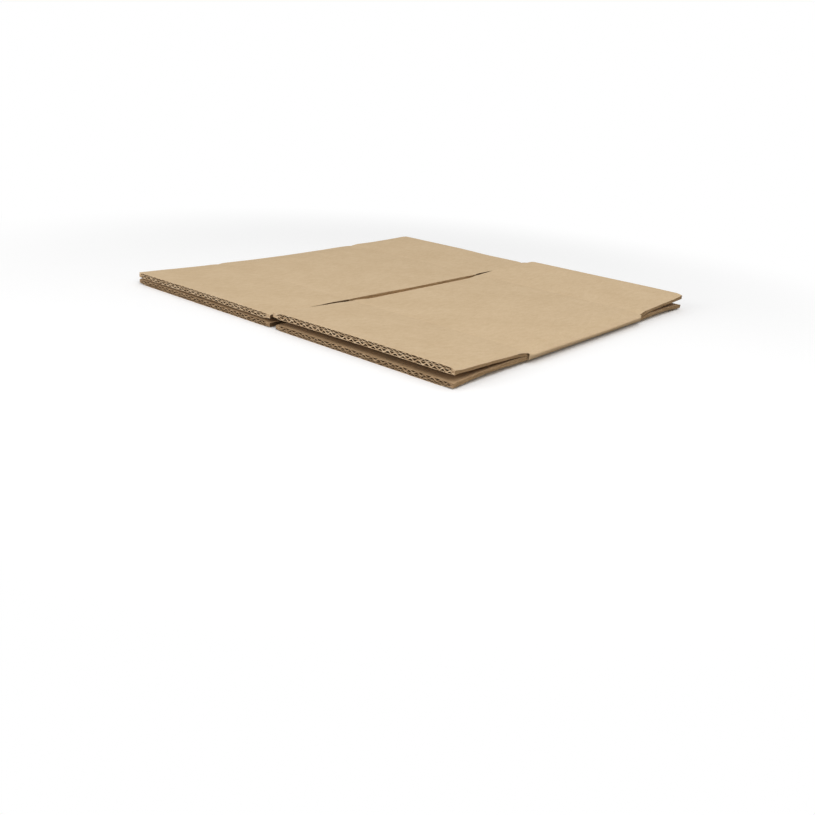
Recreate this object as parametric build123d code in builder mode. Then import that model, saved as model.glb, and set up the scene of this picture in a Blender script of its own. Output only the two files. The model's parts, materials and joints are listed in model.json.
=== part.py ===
from build123d import *
from math import cos, hypot, radians, sin
import os

os.makedirs("parts", exist_ok=True)

# All sizes are in millimetres, and all angles in degrees.
# The flattened carton lies on Z = 0, with its flutes along Y and its two folded edges at -X and +X.

# The carton's panels, from score line to score line
panel_width = 203.0
body_height = 207.0
flap_depth = 101.0

# Double-wall board: an outside liner, fine flutes, a middle liner, coarse flutes and an inside liner
liner = 0.4
medium = 0.3
fine_flute = 1.75
fine_pitch = 6.5
coarse_flute = 2.45
coarse_pitch = 7.8
crushed_side = 1.0

# Where the sheet is cut
slot_width = 7.5
fold_setback = 4.0

# The glued joint near the middle of the upper layer, and the glue tab under it
joint_shift = -1.5
joint_gap = 3.5
joint_crease_radius = 4.5
tab_width = 35.0
tab_thickness = 2.0
tab_setback = 6.0

# Score lines, pressed deep from the inside and barely seen from the outside
score_width = 6.0
score_inside = 1.6
score_outside = 0.3

# The folded edges are pressed thinner than two boards, over a taper that ends at the edge, and
# their middle line is a little higher than the gap between the layers
fold_height = 6.0
fold_middle = 6.5
fold_taper = 20.0

# How the carton lies: the gap between its layers, and how far each upper flap stands up from the one below
layer_gap = 0.3
lift_near_left = 0.4
lift_near_right = 2.6
lift_far_left = 1.3
lift_far_right = 3.5

# Sizes worked out from those above
board = 3 * liner + fine_flute + coarse_flute
stack = 2 * board + layer_gap
upper_inside = board + layer_gap
crease_y = body_height / 2
flap_side = panel_width - fold_setback
joint_left = joint_shift - joint_gap / 2
joint_right = joint_shift + joint_gap / 2
tab_length = body_height - 2 * tab_setback


def cut_flutes(width, pitch, height, base):
    """Cut the triangular channels on both sides of one zigzag medium that stands on base."""
    count = int((width - 2 * crushed_side) / pitch)
    slope = hypot(pitch / 2, height)
    foot = pitch / 2 - medium / 2 * slope / height
    tip = medium / 2 * slope / (pitch / 2)
    with Locations((0, base)):
        with GridLocations(pitch, 0, count, 1):
            Polygon((-foot, 0), (foot, 0), (0, height - tip), align=None, mode=Mode.SUBTRACT)
        with GridLocations(pitch, 0, count - 1, 1):
            Polygon((-foot, height), (0, tip), (foot, height), align=None, mode=Mode.SUBTRACT)


def build_flap(width):
    """A flap along +Y from its score line at Y = 0, with its outside face up at Z = 0."""
    score_end = score_width / 2
    with BuildPart() as flap:
        with BuildSketch(Plane.XZ.offset(-flap_depth)):
            with Locations((0, -board / 2)):
                Rectangle(width, board)
            cut_flutes(width, fine_pitch, fine_flute, -liner - fine_flute)
            cut_flutes(width, coarse_pitch, coarse_flute, liner - board)
        extrude(amount=flap_depth - score_end)
        with BuildSketch(Plane.YZ.offset(-width / 2)):
            Polygon(
                (score_end, 0),
                (0, -score_outside),
                (0, score_inside - board),
                (score_end, -board),
                align=None,
            )
        extrude(amount=width)
    return flap.part


def hinge_plane(end, side, inner_edge, height, outside, lift=0.0):
    """The plane of a flap's score line. end is -1 near or 1 far, side is -1 left or 1 right, and
    outside is 1 where the flap's outside face looks up and -1 where it looks down."""
    middle_x = (side * flap_side + inner_edge) / 2
    tilt = radians(lift)
    return Plane(
        (middle_x, end * crease_y, height),
        x_dir=(end * outside, 0, 0),
        z_dir=(0, -end * sin(tilt), outside * cos(tilt)),
    )


# The lower flaps are one piece with the sleeve
lower_flap = build_flap(flap_side - slot_width / 2)
lower_hinges = [
    hinge_plane(end, side, side * slot_width / 2, 0, -1)
    for end in (-1, 1)
    for side in (-1, 1)
]

# The sleeve: four panels folded flat at both sides and glued into a tube
with BuildPart() as sleeve:
    with BuildSketch(Plane.XZ) as section:
        with Locations((0, stack / 2)):
            Rectangle(2 * (panel_width - fold_taper), stack)
        with Locations((0, fold_middle)):
            SlotOverall(2 * panel_width, fold_height)
        make_hull()
        with Locations((0, stack / 2)):
            Rectangle(2 * (panel_width - fold_height / 2), layer_gap, mode=Mode.SUBTRACT)
        with Locations((joint_shift, upper_inside)):
            Rectangle(joint_gap, board, align=(Align.CENTER, Align.MIN), mode=Mode.SUBTRACT)
        right_of_gap = section.vertices().filter_by_position(Axis.X, joint_right - 0.01, joint_right + 0.01)
        fillet(right_of_gap.sort_by(Axis.Y)[-1], radius=joint_crease_radius)
        # The panel steps up over the free edge of the glue tab
        with Locations((joint_left - tab_width, upper_inside)):
            Polygon((0, 0), (-tab_thickness, 0), (0, tab_thickness), align=None, mode=Mode.SUBTRACT)
        # The score line in the middle of the lower layer, which stays unfolded
        for face, depth in ((0, score_outside), (board, -score_inside)):
            with Locations((0, face)):
                Polygon(
                    (-score_width / 2, 0),
                    (score_width / 2, 0),
                    (0, depth),
                    align=None,
                    mode=Mode.SUBTRACT,
                )
    extrude(amount=crease_y, both=True)

    with BuildSketch(Plane.XY.offset(upper_inside)):
        with Locations((joint_right, 0)):
            Rectangle(joint_gap + tab_width, tab_length, align=(Align.MAX, Align.CENTER))
    extrude(amount=tab_thickness)

    # The score lines along both ends of the panels
    with BuildSketch(Plane.YZ.offset(-flap_side)):
        for face, depth in (
            (0, score_outside),
            (board, -score_inside),
            (upper_inside, score_inside),
            (stack, -score_outside),
        ):
            with Locations((-crease_y, face), (crease_y, face)):
                Polygon((-score_width / 2, 0), (score_width / 2, 0), (0, depth), align=None)
    extrude(amount=2 * flap_side, mode=Mode.SUBTRACT)

    with Locations([hinge.location for hinge in lower_hinges]):
        add(lower_flap)

sleeve.part.label = "sleeve"
export_step(sleeve.part, "parts/sleeve.step")

# The four upper flaps lie on the lower ones and lift at their score lines
left_flap = build_flap(flap_side + joint_left)
right_flap = build_flap(flap_side - joint_right)
upper_flaps = {
    "near_left_flap": (left_flap, hinge_plane(-1, -1, joint_left, stack, 1, lift_near_left)),
    "near_right_flap": (right_flap, hinge_plane(-1, 1, joint_right, stack, 1, lift_near_right)),
    "far_left_flap": (left_flap, hinge_plane(1, -1, joint_left, stack, 1, lift_far_left)),
    "far_right_flap": (right_flap, hinge_plane(1, 1, joint_right, stack, 1, lift_far_right)),
}
for name, (flap, hinge) in upper_flaps.items():
    with BuildPart(hinge) as placed_flap:
        add(flap)
    placed_flap.part.label = name
    export_step(placed_flap.part, f"parts/{name}.step")
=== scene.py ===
"""The looks of a flattened double-wall carton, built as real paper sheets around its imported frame."""

import json
from collections import namedtuple
from math import cos, pi, radians, sin

import bpy
import numpy as np
from mathutils import Matrix, Vector


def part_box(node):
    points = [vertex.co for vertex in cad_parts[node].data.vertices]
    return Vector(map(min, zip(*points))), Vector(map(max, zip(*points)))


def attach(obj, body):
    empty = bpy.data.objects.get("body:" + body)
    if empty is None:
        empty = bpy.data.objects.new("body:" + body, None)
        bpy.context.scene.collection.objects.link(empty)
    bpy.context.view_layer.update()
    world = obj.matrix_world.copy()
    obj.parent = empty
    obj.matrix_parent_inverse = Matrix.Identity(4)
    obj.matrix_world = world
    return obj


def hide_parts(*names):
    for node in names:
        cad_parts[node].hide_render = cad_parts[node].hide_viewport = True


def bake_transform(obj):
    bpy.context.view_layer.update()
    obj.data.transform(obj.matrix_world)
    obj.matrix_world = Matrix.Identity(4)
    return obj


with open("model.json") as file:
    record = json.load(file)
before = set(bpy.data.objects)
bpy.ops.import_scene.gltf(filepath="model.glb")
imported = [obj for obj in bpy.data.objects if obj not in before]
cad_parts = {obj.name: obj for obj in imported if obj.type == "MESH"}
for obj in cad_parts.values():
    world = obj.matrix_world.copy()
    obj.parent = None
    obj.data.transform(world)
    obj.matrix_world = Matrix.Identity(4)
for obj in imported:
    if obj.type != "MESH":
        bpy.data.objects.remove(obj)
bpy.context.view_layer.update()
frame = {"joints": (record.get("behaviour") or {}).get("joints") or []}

# Sizes from the frame, in metres
MM = 0.001
hinges = {joint["child"]: Vector(joint["pos_m"]) for joint in frame["joints"]}
crease_y = hinges["far_right_flap"].y
stack = hinges["far_right_flap"].z
half_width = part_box("sleeve")[1].x
free_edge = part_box("sleeve")[1].y
flap_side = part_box("near_right_flap")[1].x
joint_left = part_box("near_left_flap")[1].x
joint_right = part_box("near_right_flap")[0].x
flap_depth = free_edge - crease_y

# The board, from its outside face inwards: a liner, fine flutes, a liner, coarse flutes and a liner
liner = 0.4 * MM
medium = 0.3 * MM
fine_flute = 1.75 * MM
coarse_flute = 2.45 * MM
fine_pitch = 6.5 * MM
coarse_pitch = 7.8 * MM
board = 3 * liner + fine_flute + coarse_flute
layer_gap = stack - 2 * board
upper_inside = board + layer_gap
slot_half = 3.75 * MM

# Each fluted medium: its pitch, its height, the depth that it starts at, and by what share the saw's burr
# thickens it at the free edge
Flute = namedtuple("Flute", "pitch height start burr")
flutes = (
    Flute(fine_pitch, fine_flute, liner, 0.5),
    Flute(coarse_pitch, coarse_flute, board - liner - coarse_flute, 2.2),
)
burr_depth = 3 * MM

# How uneven the flutes are: how far they wander, as a share of their pitch, how much of their height is lost,
# the wavelengths of both, and the least distance from the liner outside them
pitch_wander = 0.1
pitch_wavelength = 31 * MM
height_loss = 0.12
height_wavelength = 40 * MM
flute_clearance = 0.02 * MM

# The pressed folds at both sides. They are skewed upwards, and drawn in by fold_end_shift over the last
# stretch, fold_end, before the score lines. The sides of the panels are pressed with them, and that fades
# between two distances past the score lines
fold_radius = 3 * MM
fold_middle = 6.5 * MM
fold_taper = 20 * MM
fold_centre = half_width - fold_radius
fold_skew = 0.85
fold_end = 6 * MM
fold_end_shift = 2.4 * MM
press_fade = (-2 * MM, 14 * MM)

# The hollow under the outside liner at the folds. It closes between two turns in radians, opens beside the
# fold between two distances from it, reaches a little way onto the flap, and leaves the board a core
fold_hollow = 1.3 * MM
hollow_closes = (0.9, 1.7)
hollow_opens = (5 * MM, 1 * MM)
hollow_on_flap = 4 * MM
least_core = 0.5 * MM

# The flaps' cut sides at the slots and at the joint are crushed: how far and how wide, and between which
# distances past the score line that sets in. The shares are those of the upper layer's outside face, where it
# grows with the distance from the score line, of its inside face, and of each face of the lower layer
slot_crush = 1.9 * MM
slot_crush_width = 11 * MM
crush_start = (-4 * MM, 2 * MM)
crush_outside = 0.35
crush_inside = 0.65
crush_lower = 0.5

# The glue tab. Its ends are cut back by tab_setback, fully from tab_full_setback in x on, and the left panel
# steps up over it within tab_step
tab_width = 35 * MM
tab_thickness = 2 * MM
tab_setback = 6 * MM
tab_full_setback = -2 * MM
tab_step = 3 * MM

# The crease that leads down to the tab, as its top and foot in x. It is steep at its ends, with a foot of its
# own there, and gets rounder between two distances from the score lines
crease_top = joint_right + 4.5 * MM
crease_foot = -1 * MM
crease_end_foot = joint_right - 0.7 * MM
crease_rounding = (0.5 * MM, 26 * MM)

# Score lines, which fade at the folds
score_half = 3 * MM
score_inside = 1.6 * MM
score_outside = 0.12 * MM
score_fade = 0.9

# The free edges: the upper flaps' outside face rolls down a little between two distances past the edge, and
# the board of the lower flaps is thinner over edge_width
edge_width = 4 * MM
edge_roll = 0.3 * MM
roll_stretch = (-1.8 * MM, 1.2 * MM)
lower_edge_loss = 0.45 * MM

# How each upper flap differs from a flat one, in millimetres. edge is the height of its free edge, at
# edge_places from the slot to the side. inner is how much higher its inner edge lies, and lean how far that
# edge leans to the left, both at depth_places from the score line to the free edge, and curl is how wide a
# strip does so. swell is how much thicker the board is at the free edge, and side_shift how far the flap's
# outer corner is shifted to the right, over a strip of side_shift_width
FlapShape = namedtuple("FlapShape", "edge inner lean curl swell side_shift")
edge_places = (0, 0.15, 0.3, 0.45, 0.65, 0.8, 1)
depth_places = (0, 0.08, 0.16, 0.4, 0.64, 0.88, 1)
flap_shapes = {
    "near_left_flap": FlapShape(
        edge=(0.7, 0.7, 0.75, 0.75, 0.6, 0.15, 0.0),
        inner=(0, 0.15, 0.2, 0.0, 0.0, 0.05, 0),
        lean=(1.2, 1.2, 1.2, 0.8, 0.2, 0, 0),
        curl=20,
        swell=-0.25,
        side_shift=0,
    ),
    "near_right_flap": FlapShape(
        edge=(0.4, 0.6, 1.0, 1.3, 1.45, 1.5, 1.4),
        inner=(0, 0, 0.1, -0.1, -0.4, -0.6, -0.6),
        lean=(-0.3, -0.9, -1.0, -1.0, -0.6, 0, 0),
        curl=20,
        swell=0.45,
        side_shift=0,
    ),
    "far_left_flap": FlapShape(
        edge=(-0.25, -0.25, -0.2, 0.6, 0.75, 0.75, 0.8),
        inner=(0, 0, -0.1, -0.3, -0.3, -0.1, 0),
        lean=(-0.2, 0.9, 0.9, 0.2, 0.2, 0.4, 0.6),
        curl=20,
        swell=-0.2,
        side_shift=2.5,
    ),
    "far_right_flap": FlapShape(
        edge=(-0.3, -0.2, -0.15, -0.15, -0.15, -0.2, -0.6),
        inner=(0, 0.1, 0.1, 0.4, 0.3, 0, -1.9),
        lean=(0, 0, 0.05, -0.05, -0.5, -1.0, -1.3),
        curl=8,
        swell=0.1,
        side_shift=0,
    ),
}
side_shift_width = 60 * MM

# The shares of a flap's depth between which its lift sets in
lift_start = (-0.05, 0.08)

# How far the free edge of the left panel leans to the left, in millimetres, at places along y, and how wide
# the strip is that leans
joint_lean = (
    (-103.5, -75, -51, -36, -14, 13, 26, 55, 69, 95, 103.5),
    (1.2, 1.5, 1.3, 0.2, -0.2, -0.6, 0.1, 0, 0.4, -0.4, -0.2),
)
joint_strip = 12 * MM

# How far the outside face sinks at the left and right sides, in millimetres, at places along y. The strip
# that sinks is sag_width wide on the panels, and narrows by the share sag_narrowing to the free edges
sag_left = (
    (-204.5, -180, -156, -135, -118, -104, -60, 0, 35, 60, 85, 108, 132, 180, 204.5),
    (0.15, 0.5, 1.1, 1.55, 1.75, 0.8, 1.15, 1.4, 0.95, 0.7, 0.1, 0.3, 1.1, 1.35, 1.0),
)
sag_right = (
    (-204.5, -196, -186, -168, -144, -127, -112, -96, -70, -40, 0, 40, 80, 110, 130, 150, 170, 190, 204.5),
    (1.7, 2.5, 2.1, 1.7, 1.3, 1.0, 0.4, 0, 0, 0.3, 0.8, 0.8, 0.1, 0, 0.4, 0.7, 1.3, 1.6, 1.2),
)
sag_width = 22 * MM
sag_narrowing = 0.75

# The sides of the flaps were pressed with the folds. These are heights there at depth_places, in
# millimetres: the underside of the upper flaps at the left and at the right, the top of the lower ones at
# both, and their underside
under_left = (6.65, 6.75, 6.9, 6.9, 6.7, 6.1, 6.0)
under_right = (6.65, 7.2, 7.6, 7.4, 6.9, 6.1, 6.0)
above_left = (6.35, 6.5, 6.7, 6.7, 6.5, 5.7, 5.3)
above_right = (6.35, 7.05, 7.4, 7.25, 6.75, 5.7, 5.3)
lower_bottom = (3.5, 3.3, 3.5, 4.2, 4.0, 2.4, 1.4)

# Slow waves of the whole upper layer and of the edges at the glued joint: their heights and wavelengths
panel_wave = 0.12 * MM
panel_wavelength = 150 * MM
joint_wave = 0.15 * MM
joint_wavelength = 40 * MM

# How far the cuts wander inwards at the free edges and at the sides of the flaps, the mean of that as a share
# of it, and the wavelengths of both
ragged_edge = 0.22 * MM
ragged_side = 0.25 * MM
ragged_mean = 0.6
edge_wavelength = 11 * MM
side_wavelength = 23 * MM

# How finely the papers are divided: the steps of a flute on the panels and on the flaps, and those of a fold.
# Edges that bend by more than sharp_angle are shaded sharp
panel_flute_steps = 8
flap_flute_steps = 10
fold_steps = 14
sharp_angle = radians(38)

# The outside face is followed by one length s, from the free edge of the left upper panel, round both
# folds, to the free edge of the glue tab
upper_length = fold_centre + joint_left
fold_length = pi * fold_radius
lower_start = upper_length + fold_length
right_fold = lower_start + 2 * fold_centre
right_start = right_fold + fold_length
right_zero = right_start + fold_centre
tab_edge_s = right_zero - joint_left + tab_width

# How far the skewed outline of a fold would reach, for a radius of 1
turns = np.linspace(0, pi, 200)
fold_reach = (np.sin(turns) * (1 + fold_skew * np.cos(turns))).max()


def smooth(x):
    """0 below 0, 1 above 1, and smooth between."""
    t = np.clip(x, 0, 1)
    return t * t * (3 - 2 * t)


def ramp(x, start, end):
    """From 0 at start to 1 at end, smoothly."""
    return smooth((x - start) / (end - start))


def noise(points, seed, wavelength):
    """Smooth noise from about -1 to 1 over an array of lengths, in octaves that get finer and fainter, and
    that together go about as far as reach."""
    finer, fainter, reach = 1.9, 1.7, 2.1
    random = np.random.default_rng(seed)
    total = np.zeros_like(points)
    for octave in range(4):
        wave = wavelength / finer ** octave * random.uniform(0.8, 1.2)
        total += np.sin(2 * pi * points / wave + random.uniform(0, 2 * pi)) / fainter ** octave
    return total / reach


def noise_2d(x, y, seed, wavelength):
    """Smooth noise from -1 to 1 over two arrays of lengths, from waves in any direction."""
    waves = 6
    random = np.random.default_rng(seed)
    total = np.zeros_like(x)
    for _ in range(waves):
        angle = random.uniform(0, pi)
        wave = wavelength * random.uniform(0.6, 1.5)
        total += np.sin(2 * pi * (x * cos(angle) + y * sin(angle)) / wave + random.uniform(0, 2 * pi))
    return total / waves


def curve(x, places, values):
    """A smooth line through values at places."""
    places, values = np.asarray(places, float), np.asarray(values, float)
    slopes = np.gradient(values, places)
    i = np.clip(np.searchsorted(places, x) - 1, 0, len(places) - 2)
    width = places[i + 1] - places[i]
    t = np.clip((x - places[i]) / width, 0, 1)
    bent = t * (1 - t) * width * ((1 - t) * slopes[i] - t * slopes[i + 1])
    return (1 + 2 * t) * (1 - t) ** 2 * values[i] + t * t * (3 - 2 * t) * values[i + 1] + bent


class Spots:
    """Points of the outside face at lengths s and places y, before anything is lifted or pressed there."""

    def __init__(self, s, y):
        self.s = s
        self.y = y
        reached = [s <= end for end in (upper_length, lower_start, right_fold, right_start)]
        self.x = np.select(
            reached,
            [joint_left - s, -fold_centre, s - lower_start - fold_centre, fold_centre],
            right_zero - s,
        )
        # How far round a fold, in radians from its top
        self.turn = np.select(
            reached,
            [0, (s - upper_length) / fold_radius, 0, pi - (s - right_fold) / fold_radius],
            0,
        )
        self.lower = ~reached[1] & reached[2]
        self.folded = reached[3] & ~reached[0] & ~self.lower
        self.left = self.x < joint_left / 2
        # How far past the score line, in metres and as a share of the flap's depth
        self.past_score = np.abs(y) - crease_y
        self.out = np.clip(self.past_score / flap_depth, 0, 1.02)
        # From 0 on the panels to 1 at the folds, and from 0 beside a score line to 1 on it
        self.side = ramp(np.abs(self.x), half_width - fold_taper, fold_centre)
        self.scored = smooth(1 - np.abs(self.past_score) / score_half) * (1 - score_fade * self.side)

    def beside(self, hinge):
        """Which points are on the side and at the end where that hinge is."""
        return (self.left == (hinge.x < 0)) & (np.sign(self.y) == np.sign(hinge.y))

    def at_side(self, heights_left, heights_right):
        """Heights in metres, from those in millimetres at depth_places along either side."""
        at_left = curve(self.out, depth_places, heights_left)
        return MM * np.where(self.left, at_left, curve(self.out, depth_places, heights_right))


def flap_forms(spots):
    """How far the upper layer stands above its flat place, and how far it is shifted along x."""
    x, y, out = spots.x, spots.y, spots.out
    rise = panel_wave * noise_2d(x, y, 5, panel_wavelength)
    shift = np.zeros_like(x)
    for name, hinge in hinges.items():
        here = spots.beside(hinge) & (out > 0)
        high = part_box(name)[1].z - stack
        form = flap_shapes[name]
        inner_edge = joint_left if hinge.x < 0 else joint_right
        flap_width = abs(np.sign(hinge.x) * flap_side - inner_edge)
        from_inner = np.abs(x - inner_edge)
        curled = MM * (1 - ramp(from_inner, 0, form.curl * MM))
        lift = high + MM * curve(from_inner / flap_width, edge_places, form.edge)
        lift = lift * out * ramp(out, *lift_start) + curled * curve(out, depth_places, form.inner)
        moved = MM * form.side_shift * out * ramp(np.abs(x), flap_side - side_shift_width, flap_side)
        rise = np.where(here, rise + lift, rise)
        shift = np.where(here, moved - curled * curve(out, depth_places, form.lean), shift)
    at_joint = 1 - ramp(np.abs(x - joint_left), 0, joint_strip)
    leaning = spots.left & (spots.past_score <= 0)
    shift = np.where(leaning, -MM * at_joint * curve(y / MM, *joint_lean), shift)
    return rise, shift + joint_wave * noise(y, 11, joint_wavelength) * at_joint


def crushed(spots):
    """How far the cut sides are crushed, at the lower layer's slots and at the joint in the upper one."""
    from_joint = np.where(spots.left, joint_left - spots.x, spots.x - joint_right)
    from_cut = np.where(spots.lower, np.abs(spots.x) - slot_half, from_joint)
    return slot_crush * (1 - ramp(from_cut, 0, slot_crush_width)) * ramp(spots.past_score, *crush_start)


def sagging(spots):
    """How far the outside face of the upper layer sinks at the sides."""
    sag = MM * np.where(spots.left, curve(spots.y / MM, *sag_left), curve(spots.y / MM, *sag_right))
    width = sag_width * (1 - sag_narrowing * spots.out)
    return sag * (1 - ramp(flap_side - np.abs(spots.x), 0, width))


def swollen(spots):
    """How much thicker the upper flaps are at their free edges."""
    thicker = np.zeros_like(spots.x)
    at_edge = ramp(spots.past_score, flap_depth - edge_width, flap_depth)
    for name, hinge in hinges.items():
        thicker = np.where(spots.beside(hinge), MM * flap_shapes[name].swell * at_edge, thicker)
    return thicker


def down_to_tab(spots):
    """From 0 on the right panel to 1 on the glue tab, across the crease between them."""
    rounded = ramp(-spots.past_score, *crease_rounding)
    top = joint_right + rounded * (crease_top - joint_right)
    foot = crease_end_foot + rounded * (crease_foot - crease_end_foot)
    return smooth((top - spots.x) / (top - foot)) * (spots.s > right_start) * (spots.past_score <= 0)


def over_tab(spots):
    """1 on the left panel where it lies on the glue tab, and 0 beside it."""
    tab_edge = joint_left - tab_width
    from_end = crease_y - tab_setback + tab_step / 2 - np.abs(spots.y)
    on_tab = ramp(spots.x, tab_edge - tab_step, tab_edge) * ramp(from_end, 0, tab_step)
    return on_tab * (spots.s < upper_length)


def upper_faces(spots, crush, sag):
    """The heights of the upper layer's outside and inside faces while its flaps lie flat."""
    pressed = (stack - fold_middle - fold_radius) * (1 - ramp(spots.past_score, *press_fade))
    rolled = edge_roll * ramp(spots.past_score - flap_depth, *roll_stretch)
    outside = stack - spots.side * pressed - sag - crush_outside * crush * spots.out
    outside = outside - score_outside * spots.scored - rolled - down_to_tab(spots) * (board - tab_thickness)
    inside = upper_inside + spots.side * (spots.at_side(under_left, under_right) - upper_inside)
    inside = inside + crush_inside * crush + score_inside * spots.scored
    return outside, inside - swollen(spots) + over_tab(spots) * tab_thickness


def lower_faces(spots, crush):
    """The heights of the lower layer's outside face, which looks down, and of its inside face."""
    at_edge = ramp(spots.past_score, flap_depth - edge_width, flap_depth)
    outside = spots.side * spots.at_side(lower_bottom, lower_bottom) + crush_lower * crush
    inside = board + spots.side * (spots.at_side(above_left, above_right) - board) - crush_lower * crush
    inside = inside - score_inside * spots.scored - lower_edge_loss * at_edge
    return outside + score_outside * spots.scored, inside


def hollow_under_liner(spots, thickness):
    """How far the board is hollow under its outside liner, in the folds and beside them."""
    start, end = (fold_centre - distance for distance in hollow_opens)
    beside = ramp(np.abs(spots.x), start, end) * (1 - ramp(spots.past_score, 0, hollow_on_flap))
    in_fold = np.where(spots.turn > 0, 1 - ramp(spots.turn, *hollow_closes), 0)
    hollow = fold_hollow * np.where(~spots.lower & (spots.turn == 0), beside, in_fold)
    return np.minimum(hollow, np.maximum(thickness - 2 * liner - least_core, 0))


def settle(depth, thickness, hollow):
    """Where a depth comes once the board is pressed to that thickness: its liners keep theirs, and a hollow
    may open under the outside one."""
    between = np.clip((depth - liner) / (board - 2 * liner), 0, 1)
    pressed = liner + hollow + between * (thickness - hollow - 2 * liner)
    inside_liner_start = board - 1.001 * liner
    pressed = np.where(depth >= inside_liner_start, thickness - board + depth, pressed)
    return np.where(depth <= liner, depth, pressed)


def place(s, y, depth):
    """The point at length s round the carton, at y, that far in from the outside face."""
    spots = Spots(s, y)
    rise, shift = flap_forms(spots)
    crush = crushed(spots)
    sag = sagging(spots)
    upper_outside, upper_inner = upper_faces(spots, crush, sag)
    lower_outside, lower_inner = lower_faces(spots, crush)

    # The rise and the sag of the upper layer fade round the folds
    fading = 1 - spots.turn / pi
    thickness = np.where(spots.lower, lower_inner - lower_outside, upper_outside - upper_inner)
    thickness = np.where(spots.folded, fold_radius - layer_gap / 2 - sag * fading, thickness)
    depth = settle(depth, thickness, hollow_under_liner(spots, thickness))

    radius = fold_radius - depth
    z = np.where(spots.lower, lower_outside + depth, upper_outside + rise - depth)
    round_fold = fold_middle + radius * np.cos(spots.turn) + (rise - sag) * fading
    z = np.where(spots.folded, round_fold, z)
    nose = np.sin(spots.turn) * (1 + fold_skew * np.cos(spots.turn)) / fold_reach
    out_to_side = nose * (radius - fold_end_shift * ramp(spots.past_score, -fold_end, 0))
    sideways = np.where(spots.lower, 0, shift)
    x = spots.x + np.where(spots.folded, np.sign(spots.x) * out_to_side, sideways)

    # The ends of the glue tab are cut back
    on_tab = (s > right_start) & (spots.past_score <= 0)
    cut_back = tab_setback * ramp(-x, -joint_right, -tab_full_setback) * on_tab
    return np.stack([x, y * (1 - cut_back / crease_y), z], axis=-1)


# The numbers of a piece's paper materials
KRAFT, FLUTING, CUT_EDGE, CUT_SIDE, INSIDE, SLOT_SIDE_PAINTED_SHADE = range(6)

# The cut sides of a stretch of board: the width over which its flutes are closed there, and their material.
# Over the outer share, fully_closed, of that width they are closed altogether
CutSide = namedtuple("CutSide", "closed_width skin")
outer_side = CutSide(5 * MM, CUT_SIDE)
joint_side = CutSide(8 * MM, CUT_SIDE)
# The slot sides get a far darker material: painted shade for the deep, narrow slots and the joint gap between
# the upper flaps
slot_side_painted_shade = CutSide(8 * MM, SLOT_SIDE_PAINTED_SHADE)
fully_closed = 0.35


class Paper:
    """Thin closed sheets of paper, gathered for one mesh."""

    def __init__(self):
        self.points = []
        self.coords = []
        self.faces = []
        self.skins = []
        self.count = 0

    def add(self, s, y, outer, inner, skins, wander_edge, wander_side):
        """A sheet over the grid of lengths s and places y, between the depths outer and inner, each a
        function of s and y. skins are the material numbers of its two faces, of its ends in y, and of its
        start and its end in s. wander_edge is how far its last end in y may wander, and wander_side both
        ends in s."""
        grid_s, grid_y = np.meshgrid(s, y, indexing="ij")
        seed = len(self.faces) + 17
        wander = wander_edge * (ragged_mean + noise(s, seed - 1, edge_wavelength))
        grid_y[:, -1] -= np.sign(grid_y[0, -1]) * wander
        for end, inwards in ((0, 1), (-1, -1)):
            wander = wander_side * (ragged_mean + noise(grid_y[end, :], seed + 5 + end, side_wavelength))
            grid_s[end, :] += inwards * wander
        depth_outer = outer(grid_s, grid_y)
        depth_inner = inner(grid_s, grid_y)
        top = place(grid_s, grid_y, depth_outer).reshape(-1, 3)
        bottom = place(grid_s, grid_y, depth_inner).reshape(-1, 3)
        points = np.concatenate([top, bottom])
        faces = sheet_faces(*grid_s.shape)
        if signed_volume(points, faces) < 0:
            faces = faces[:, ::-1]
        self.points.append(points)
        self.faces.append(faces + self.count)
        for depth in (depth_outer, depth_inner):
            self.coords.append(np.stack([grid_s, grid_y, depth], axis=-1).reshape(-1, 3))
        rows, columns = len(s) - 1, len(y) - 1
        skin_of_face, skin_of_back, skin_in_y, skin_at_start, skin_at_end = skins
        self.skins.append(np.repeat(
            (skin_of_face, skin_of_back, skin_in_y, skin_at_end, skin_in_y, skin_at_start),
            (rows * columns, rows * columns, rows, columns, rows, columns),
        ))
        self.count += len(points)

    def build(self, name, materials):
        """One mesh object of all the sheets."""
        points = np.concatenate(self.points)
        faces = np.concatenate(self.faces)
        mesh = bpy.data.meshes.new(name)
        mesh.from_pydata(points.tolist(), [], faces.tolist())
        mesh.polygons.foreach_set("material_index", np.concatenate(self.skins).astype(np.int32))
        attribute = mesh.attributes.new("sheet", "FLOAT_VECTOR", "POINT")
        attribute.data.foreach_set("vector", np.concatenate(self.coords).astype(np.float32).ravel())
        mesh.shade_smooth()
        mesh.set_sharp_from_angle(angle=sharp_angle)
        for material in materials:
            mesh.materials.append(material)
        piece = bpy.data.objects.new(name, mesh)
        bpy.context.scene.collection.objects.link(piece)
        return piece


def sheet_faces(rows, columns):
    """The quads of a closed sheet: its outer face, its inner face, and the rim from corner to corner."""
    size = rows * columns
    index = np.arange(size).reshape(rows, columns)
    a, b = index[:-1, :-1].ravel(), index[1:, :-1].ravel()
    c, d = index[1:, 1:].ravel(), index[:-1, 1:].ravel()
    outer_faces = np.stack([a, b, c, d], axis=1)
    inner_faces = np.stack([d, c, b, a], axis=1) + size
    border = np.concatenate([index[:-1, 0], index[-1, :-1], index[:0:-1, -1], index[0, :0:-1]])
    following = np.roll(border, -1)
    rim_faces = np.stack([following, border, border + size, following + size], axis=1)
    return np.concatenate([outer_faces, inner_faces, rim_faces])


def signed_volume(points, faces):
    """Six times the volume inside quads, negative where they face inwards."""
    a, b, c, d = (points[faces[:, i]] for i in range(4))
    return (np.einsum("ij,ij->i", a, np.cross(b, c)) + np.einsum("ij,ij->i", a, np.cross(c, d))).sum()


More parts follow.
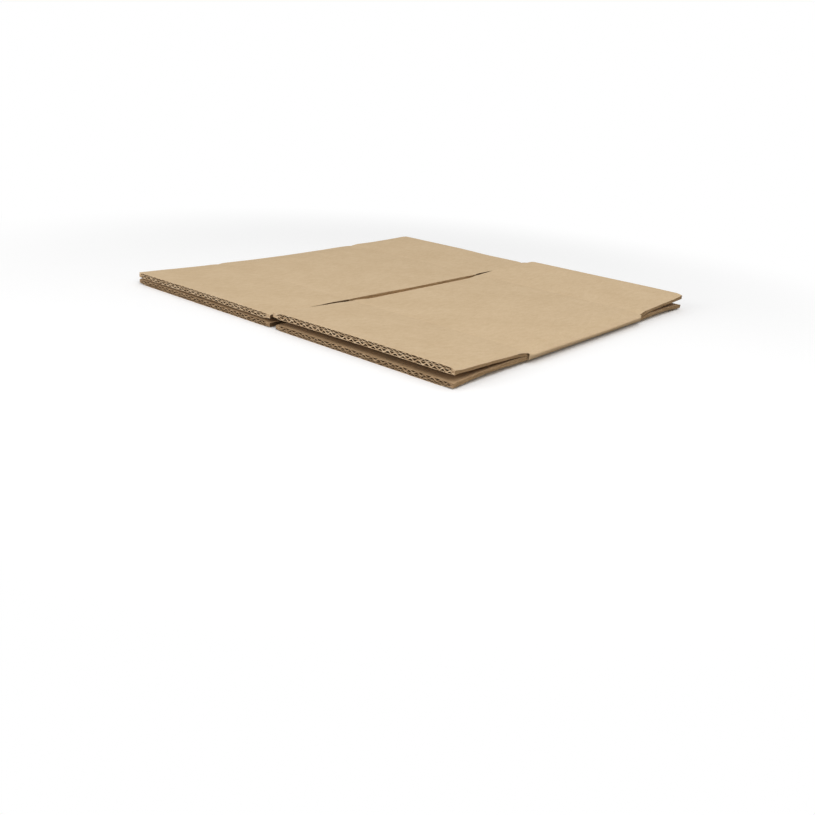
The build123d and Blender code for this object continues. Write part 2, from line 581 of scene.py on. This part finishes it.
def medium_face(flute, side, closed):
    """One face of a fluted medium, as its depth at s and y. side is -1 for the outer face and 1 for the inner
    one, and closed tells how far the flutes are closed at a length s."""
    seed = int(flute.pitch / MM * 10)
    outermost = flute.start + flute_clearance
    innermost = flute.start + flute.height
    solid = outermost if side < 0 else innermost

    def depth(s, y):
        turn = 2 * pi * (s + pitch_wander * flute.pitch * noise(s, seed, pitch_wavelength)) / flute.pitch
        lost = height_loss * flute.height * (1 + noise(s, seed + 1, height_wavelength))
        swing = (flute.height - medium - lost) / 2
        slope = swing * 2 * pi / flute.pitch * np.sin(turn)
        burr = 1 + flute.burr * ramp(np.abs(y), free_edge - burr_depth, free_edge)
        half = medium / 2 * np.sqrt(1 + slope ** 2) * burr
        fluted = flute.start + flute.height / 2 + swing * np.cos(turn) + side * half
        fluted = np.clip(fluted, outermost, innermost)
        return fluted + closed(s) * (solid - fluted)

    return depth


def level(depth):
    """The flat face of a liner at a depth."""
    return lambda s, y: np.full_like(s, depth)


def closing(distance, cut):
    """From 1, closed, to 0, open, at a distance from a cut side."""
    return 1 - ramp(distance, fully_closed * cut.closed_width, cut.closed_width)


def board_sheets(paper, s_liner, y_liner, y_flutes, cuts, flute_steps, wander_edge=0, wander_side=0):
    """The five papers of the board over a stretch of s. s_liner and y_liner are the rows of the liners, and
    y_flutes those of the mediums. cuts are the cut sides at both ends of s."""
    start, end = s_liner[0], s_liner[-1]
    sides = [cut.skin for cut in cuts]

    def closed(s):
        return np.maximum(closing(s - start, cuts[0]), closing(end - s, cuts[1]))

    for depth, outer_skin, inner_skin in (
        (0, KRAFT, FLUTING),
        (liner + fine_flute, FLUTING, FLUTING),
        (board - liner, FLUTING, INSIDE),
    ):
        skins = (outer_skin, inner_skin, CUT_EDGE, *sides)
        paper.add(s_liner, y_liner, level(depth), level(depth + liner), skins, wander_edge, wander_side)
    for flute in flutes:
        s_medium = spaced(start, end, flute.pitch / flute_steps)
        outer = medium_face(flute, -1, closed)
        inner = medium_face(flute, 1, closed)
        skins = (FLUTING, FLUTING, CUT_EDGE, *sides)
        paper.add(s_medium, y_flutes, outer, inner, skins, wander_edge, wander_side)


def spaced(start, end, step):
    """Evenly spaced values from start to end, at most a step apart."""
    return np.linspace(start, end, max(2, int(np.ceil(abs(end - start) / step)) + 1))


def mirrored(half):
    """Places from -y to y, from those from 0 to y."""
    return np.concatenate([-half[:0:-1], half])


def round_the_carton():
    """Values of s over the panels, close together at the cut edge, round the folds and at the crease."""
    panel_step = 8 * MM
    cut_step = 1.5 * MM
    taper_step = 2 * MM
    fold_step = fold_length / fold_steps
    crease_step = 0.3 * MM
    values = [0]
    for low, high, step in (
        (0, slot_crush_width, cut_step),
        (upper_length - fold_taper, upper_length, taper_step),
        (upper_length, lower_start, fold_step),
        (lower_start, lower_start + fold_taper, taper_step),
        (right_fold - fold_taper, right_fold, taper_step),
        (right_fold, right_start, fold_step),
        (right_start, right_start + fold_taper, taper_step),
        (right_zero - crease_top, right_zero - crease_foot, crease_step),
    ):
        if low - values[-1] > 0.001 * MM:
            values += list(spaced(values[-1], low, panel_step)[1:])
        values += list(spaced(low, high, step)[1:])
    values += list(spaced(values[-1], tab_edge_s, panel_step)[1:])
    return np.array(values)


def across_flap(start, end):
    """Values of s over a flap, close together at both sides."""
    rim = np.array([0, 0.7, 2, 4, 6.5, 9]) * MM
    margin = 12 * MM
    middle = spaced(start + margin, end - margin, 5 * MM)
    return np.concatenate([start + rim, middle, (end - rim)[::-1]])


# The rows of the papers along y, close together at the score lines and at the free edges
panel_rows = mirrored(np.concatenate([
    spaced(0, crease_y - 12 * MM, 16 * MM),
    crease_y - np.array([9.5, 8, 7, 6, 5, 4, 3, 2.2, 1.5, 0.8, 0]) * MM,
]))
panel_flute_rows = mirrored(np.concatenate([[0], crease_y - np.array([10, 5, 3, 1.5, 0]) * MM]))
rows_at_score = crease_y + np.array([0, 0.8, 1.5, 2.2, 3, 4, 5.5]) * MM
rows_at_edge = free_edge - np.array([6, 3, 1.5, 0.6, 0]) * MM
flap_middle_rows = spaced(crease_y + 8 * MM, free_edge - 9 * MM, 3.2 * MM)
flap_rows = np.concatenate([rows_at_score, flap_middle_rows, rows_at_edge])
flap_flute_middle_rows = spaced(crease_y + 20 * MM, free_edge - 20 * MM, 12 * MM)
flap_flute_rows = np.concatenate([rows_at_score[::2], flap_flute_middle_rows, rows_at_edge])


def linear(red, green, blue):
    """A colour as 8-bit sRGB, as the shader wants it."""
    values = np.array([red, green, blue]) / 255
    return (*np.where(values <= 0.04045, values / 12.92, ((values + 0.055) / 1.055) ** 2.4), 1)


def paper_material(name, dark, middle, light, grain, relief, flecks=0.0):
    """Kraft paper between three colours. grain lists the noises that mix them: how often each repeats in a
    metre along s, y and the depth, its turn in degrees and its strength. relief is how strongly they stand
    out, and flecks how dark the specks in the paper are."""
    material = bpy.data.materials.new(name)
    material.use_nodes = True
    nodes, links = material.node_tree.nodes, material.node_tree.links
    shader = nodes["Principled BSDF"]
    shader.inputs["Roughness"].default_value = 0.88
    shader.inputs["Specular IOR Level"].default_value = 0.2
    sheet = nodes.new("ShaderNodeAttribute")
    sheet.attribute_name = "sheet"

    def cloud(repeats, turn, detail):
        mapping = nodes.new("ShaderNodeMapping")
        mapping.inputs["Scale"].default_value = repeats
        mapping.inputs["Rotation"].default_value = (0, 0, radians(turn))
        links.new(sheet.outputs["Vector"], mapping.inputs["Vector"])
        texture = nodes.new("ShaderNodeTexNoise")
        texture.inputs["Scale"].default_value = 1
        texture.inputs["Detail"].default_value = detail
        links.new(mapping.outputs["Vector"], texture.inputs["Vector"])
        return texture.outputs["Fac"]

    def spread(value, low, high, out_low, out_high):
        mapped = nodes.new("ShaderNodeMapRange")
        for socket, number in zip(mapped.inputs[1:5], (low, high, out_low, out_high)):
            socket.default_value = number
        links.new(value, mapped.inputs["Value"])
        return mapped.outputs["Result"]

    def add(first, second):
        node = nodes.new("ShaderNodeMath")
        node.operation = "ADD"
        links.new(first, node.inputs[0])
        links.new(second, node.inputs[1])
        return node.outputs["Value"]

    noise_low, noise_high = 0.3, 0.7
    fleck_start, fleck_full = 0.67, 0.76
    tone = None
    for repeats, turn, strength in grain:
        layer = spread(cloud(repeats, turn, 2), noise_low, noise_high, -strength / 2, strength / 2)
        tone = add(tone, layer) if tone else layer
    if flecks:
        specks = cloud((900, 500, 900), -20, 1)
        tone = add(tone, spread(specks, fleck_start, fleck_full, 0, -flecks))

    colours = nodes.new("ShaderNodeValToRGB")
    colours.color_ramp.elements[0].color = linear(*dark)
    colours.color_ramp.elements[1].color = linear(*light)
    colours.color_ramp.elements.new(0.5).color = linear(*middle)
    links.new(spread(tone, -0.5, 0.5, 0, 1), colours.inputs["Fac"])
    links.new(colours.outputs["Color"], shader.inputs["Base Color"])
    bump = nodes.new("ShaderNodeBump")
    bump.inputs["Strength"].default_value = relief
    bump.inputs["Distance"].default_value = 0.1 * MM
    links.new(tone, bump.inputs["Height"])
    links.new(bump.outputs["Normal"], shader.inputs["Normal"])
    return material


def kraft_liner():
    """The outside face: clean paper with cloudy tones, long fibres along y and a few dark specks."""
    grain = (
        ((26, 26, 26), 0, 0.3),
        ((260, 90, 260), 4, 0.35),
        ((1500, 260, 900), 0, 0.4),
        ((300, 1300, 900), 25, 0.15),
    )
    return paper_material(
        "kraft_liner", (196, 170, 134), (205, 180, 145), (213, 189, 155), grain, relief=0.25, flecks=0.25
    )


def inside_liner():
    """The inside face, plainer, and a little darker: partly its own browner paper, partly painted shade of
    the gaps between the layers, where it shows.
    """
    grain = (((26, 26, 26), 0, 0.4), ((1500, 260, 900), 0, 0.5))
    return paper_material(
        "inside_liner", (168, 139, 104), (180, 151, 116), (192, 164, 129), grain, relief=0.25
    )


def fluting():
    """The mediums, and the liners' faces towards them, darker than the liners: partly the mediums' own tone,
    partly painted shade inside the flutes.
    """
    grain = (((300, 60, 300), 0, 0.5), ((1500, 300, 1500), 0, 0.5))
    return paper_material("fluting", (130, 104, 76), (160, 133, 101), (186, 160, 126), grain, relief=0.3)


def cut_edge(name, dark, middle, light):
    """The raw cut across the flutes, with frayed fibres and soiled stretches."""
    grain = (
        ((500, 45, 2600), 0, 0.55),
        ((900, 900, 1500), 0, 0.5),
        ((90, 60, 300), 0, 0.35),
        ((230, 60, 700), 0, 0.5),
    )
    return paper_material(name, dark, middle, light, grain, relief=0.5)


def cut_along_flutes(name, dark, middle, light):
    """The cut along the flutes, where the papers are crushed together and streaked. The colours given carry
    painted shade: a little on the outer sides, much in the slots.
    """
    grain = (((900, 60, 1500), 0, 0.6), ((900, 400, 900), 0, 0.4), ((90, 25, 300), 0, 0.3))
    return paper_material(name, dark, middle, light, grain, relief=0.5)


def paper_materials():
    """The materials of the upper pieces and of the lower flaps, whose cut edges are darker by painted shade,
    in the order of their numbers."""
    upper = [
        kraft_liner(),
        fluting(),
        cut_edge("cut_edge", (148, 117, 84), (206, 178, 143), (236, 214, 184)),
        # The outer cut sides: the crushed papers' darker tone, deepened with painted shade of the carton's
        # sides
        cut_along_flutes("cut_side", (112, 87, 60), (158, 129, 94), (194, 166, 129)),
        inside_liner(),
        # Painted shade: the slot sides' colours stand in for the shade deep in the slots and in the joint gap
        cut_along_flutes("slot_side_painted_shade", (64, 46, 30), (98, 75, 51), (132, 106, 76)),
    ]
    lower = list(upper)
    # The lower flaps' cut edges are the same paper, darkened as painted shade from the layer above them
    lower[CUT_EDGE] = cut_edge("low_cut_edge_painted_shade", (110, 82, 55), (166, 137, 105), (200, 173, 140))
    return upper, lower


def build_panels(materials):
    """The four panels as one sheet round the carton, with both folds, the glue tab and the joint over it."""
    paper = Paper()
    cuts = (joint_side, outer_side)
    board_sheets(paper, round_the_carton(), panel_rows, panel_flute_rows, cuts, panel_flute_steps)
    panels = paper.build("sleeve_panels", materials)
    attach(panels, "sleeve")
    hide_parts("sleeve")


def add_flap_board(paper, s_start, s_end, end, cuts):
    """The board of one flap between two lengths, at the near end, -1, or the far end, 1."""
    s_liner = across_flap(s_start, s_end)
    y_liner = flap_rows * end
    y_flutes = flap_flute_rows * end
    board_sheets(paper, s_liner, y_liner, y_flutes, cuts, flap_flute_steps, ragged_edge, ragged_side)


def build_lower_flaps(name, end, materials):
    """The two lower flaps at one end, on either side of their slot."""
    paper = Paper()
    slot_middle = lower_start + fold_centre
    add_flap_board(paper, slot_middle - flap_side, slot_middle - slot_half, end, (outer_side, slot_side_painted_shade))
    add_flap_board(paper, slot_middle + slot_half, slot_middle + flap_side, end, (slot_side_painted_shade, outer_side))
    lower_flaps = paper.build(name, materials)
    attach(lower_flaps, "sleeve")
    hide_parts("sleeve")


def build_upper_flap(name, hinge, materials):
    """One upper flap, whose lift sets in smoothly beside its score line."""
    paper = Paper()
    end = 1 if hinge.y > 0 else -1
    if hinge.x < 0:
        add_flap_board(paper, 0, flap_side + joint_left, end, (slot_side_painted_shade, outer_side))
    else:
        add_flap_board(paper, right_zero - flap_side, right_zero - joint_right, end, (outer_side, slot_side_painted_shade))
    piece = paper.build(f"{name}_board", materials)
    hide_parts(name)
    hinge.copy()
    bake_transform(piece)


def floor_material():
    """A pale floor that goes over into plain white away from the carton, and keeps its shadow. The light that
    it throws back is dimmer and browner, as from the board that the carton lies on in the photograph."""
    material = bpy.data.materials.new("floor")
    material.use_nodes = True
    nodes, links = material.node_tree.nodes, material.node_tree.links
    shader = nodes["Principled BSDF"]
    shader.inputs["Roughness"].default_value = 1.0
    shader.inputs["Specular IOR Level"].default_value = 0.0
    path = nodes.new("ShaderNodeLightPath")
    tint = nodes.new("ShaderNodeMix")
    tint.data_type = "RGBA"
    tint.inputs["A"].default_value = (0.5, 0.47, 0.43, 1)
    tint.inputs["B"].default_value = (1, 1, 1, 1)
    links.new(path.outputs["Is Camera Ray"], tint.inputs["Factor"])
    links.new(tint.outputs["Result"], shader.inputs["Base Color"])

    where = nodes.new("ShaderNodeTexCoord")
    distance = nodes.new("ShaderNodeVectorMath")
    distance.operation = "LENGTH"
    links.new(where.outputs["Object"], distance.inputs[0])
    away = nodes.new("ShaderNodeMapRange")
    away.interpolation_type = "SMOOTHSTEP"
    shadow_reach, all_white = 0.3, 0.62
    for socket, number in zip(away.inputs[1:5], (shadow_reach, all_white, 0, 1)):
        socket.default_value = number
    links.new(distance.outputs["Value"], away.inputs["Value"])
    seen = nodes.new("ShaderNodeMath")
    seen.operation = "MULTIPLY"
    links.new(away.outputs["Result"], seen.inputs[0])
    links.new(path.outputs["Is Camera Ray"], seen.inputs[1])
    white = nodes.new("ShaderNodeEmission")
    mix = nodes.new("ShaderNodeMixShader")
    links.new(seen.outputs["Value"], mix.inputs["Fac"])
    links.new(shader.outputs["BSDF"], mix.inputs[1])
    links.new(white.outputs["Emission"], mix.inputs[2])
    links.new(mix.outputs["Shader"], nodes["Material Output"].inputs["Surface"])
    return material


def add_floor():
    """A plain floor under the carton."""
    half = 8.0
    corners = [(-half, -half, 0), (half, -half, 0), (half, half, 0), (-half, half, 0)]
    mesh = bpy.data.meshes.new("floor")
    mesh.from_pydata(corners, [], [(0, 1, 2, 3)])
    mesh.materials.append(floor_material())
    floor = bpy.data.objects.new("floor", mesh)
    bpy.context.scene.collection.objects.link(floor)


def add_world(level_of_light):
    """White where the camera sees it, and a soft light from all round."""
    world = bpy.data.worlds.new("studio")
    bpy.context.scene.world = world
    world.use_nodes = True
    nodes, links = world.node_tree.nodes, world.node_tree.links
    background = nodes["Background"]
    path = nodes.new("ShaderNodeLightPath")
    mix = nodes.new("ShaderNodeMix")
    mix.data_type = "RGBA"
    mix.inputs["A"].default_value = (level_of_light, level_of_light, level_of_light, 1)
    mix.inputs["B"].default_value = (1, 1, 1, 1)
    links.new(path.outputs["Is Camera Ray"], mix.inputs["Factor"])
    links.new(mix.outputs["Result"], background.inputs["Color"])


def add_light(name, location, size, power):
    """A square soft light at a point, aimed at the carton. Its size is in metres and its power in watts."""
    light = bpy.data.lights.new(name, "AREA")
    light.size = size
    light.energy = power
    lamp = bpy.data.objects.new(name, light)
    lamp.location = location
    lamp.rotation_euler = (-Vector(location)).to_track_quat("-Z", "Y").to_euler()
    bpy.context.scene.collection.objects.link(lamp)


# The camera as solved from the photograph's 815 pixel frame: its distance and offsets are in metres,
# from the middle of the carton's top face
image_size = 815
focal_pixels = 865
camera_azimuth = radians(38.4)
camera_elevation = radians(20.865)
camera_roll = radians(4.45)
camera_distance = 902.4 * MM
camera_right = -13.8 * MM
camera_up = -126.2 * MM


def add_camera():
    """The photograph's camera."""
    back = Vector((
        sin(camera_azimuth) * cos(camera_elevation),
        -cos(camera_azimuth) * cos(camera_elevation),
        sin(camera_elevation),
    ))
    level_right = Vector((cos(camera_azimuth), sin(camera_azimuth), 0))
    level_up = back.cross(level_right)
    right = level_right * cos(camera_roll) + level_up * sin(camera_roll)
    up = level_up * cos(camera_roll) - level_right * sin(camera_roll)
    data = bpy.data.cameras.new("camera")
    data.sensor_width = 36
    data.sensor_fit = "HORIZONTAL"
    data.lens = focal_pixels / image_size * data.sensor_width
    data.clip_start = 0.01
    camera = bpy.data.objects.new("camera", data)
    turn = Matrix((right, up, back)).transposed()
    camera.matrix_world = Matrix.Translation(
        Vector((0, 0, stack)) + right * camera_right + up * camera_up + back * camera_distance
    ) @ turn.to_4x4()
    bpy.context.scene.collection.objects.link(camera)
    bpy.context.scene.camera = camera


upper_materials, lower_materials = paper_materials()
build_panels(upper_materials)
build_lower_flaps("near_lower_flaps", -1, lower_materials)
build_lower_flaps("far_lower_flaps", 1, lower_materials)
for name, hinge in hinges.items():
    build_upper_flap(name, hinge, upper_materials)

add_floor()
add_world(0.40)
add_light("key", location=(1.2, -0.8, 1.8), size=1.5, power=25.5)
add_light("fill", location=(-0.7, -2.1, 0.5), size=1.4, power=21)
add_light("top", location=(0.0, 0.3, 2.2), size=2.0, power=10)
add_camera()
bpy.context.scene.view_settings.view_transform = "Standard"
